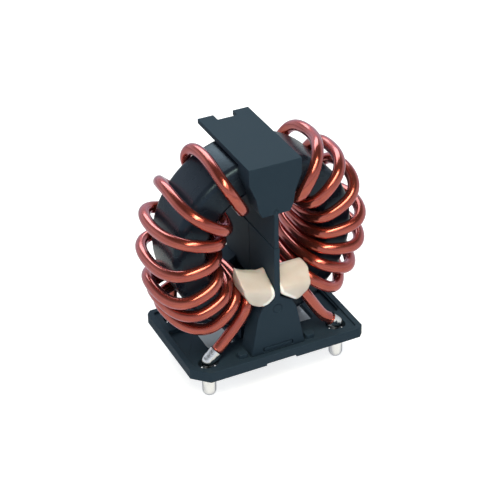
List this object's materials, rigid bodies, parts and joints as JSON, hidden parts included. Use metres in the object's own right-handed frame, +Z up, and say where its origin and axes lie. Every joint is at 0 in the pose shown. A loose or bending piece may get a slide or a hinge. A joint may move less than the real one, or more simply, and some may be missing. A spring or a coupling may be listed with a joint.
{
  "type": "common mode choke",
  "caption": "Vertical common mode choke: windings of thick enamelled wire on a coated ring core, parted by a plastic divider, on a plastic base with wire pins.",
  "frame": {"origin": "centre of the four pins, in the plane of the base's underside, where it meets the circuit board", "axes": "+Z up, away from the board; +X along the base to the right; -Y is the front, the side with the cap's flange and the bent tinned leads, and the core's axis runs along Y"},
  "size_m": [0.0351, 0.0192, 0.0377],
  "materials": {
    "black_plastic": "moulded, satin",
    "black_coating": "smooth insulating coat, satin",
    "enamelled_copper": "glossy enamel over copper",
    "tin": "dipped tin, bright",
    "cream_adhesive": "set adhesive, glossy"
  },
  "bodies": {
    "root": {"base": "black_plastic", "core": "black_coating", "winding_left": "enamelled_copper", "winding_right": "enamelled_copper", "tin_front_left": "tin", "tin_front_right": "tin", "tin_back_left": "tin", "tin_back_right": "tin", "divider_cap": "black_plastic", "stand_front": "black_plastic", "stand_back": "black_plastic", "adhesive_left": "cream_adhesive", "adhesive_right": "cream_adhesive"}
  },
  "joints": []
}
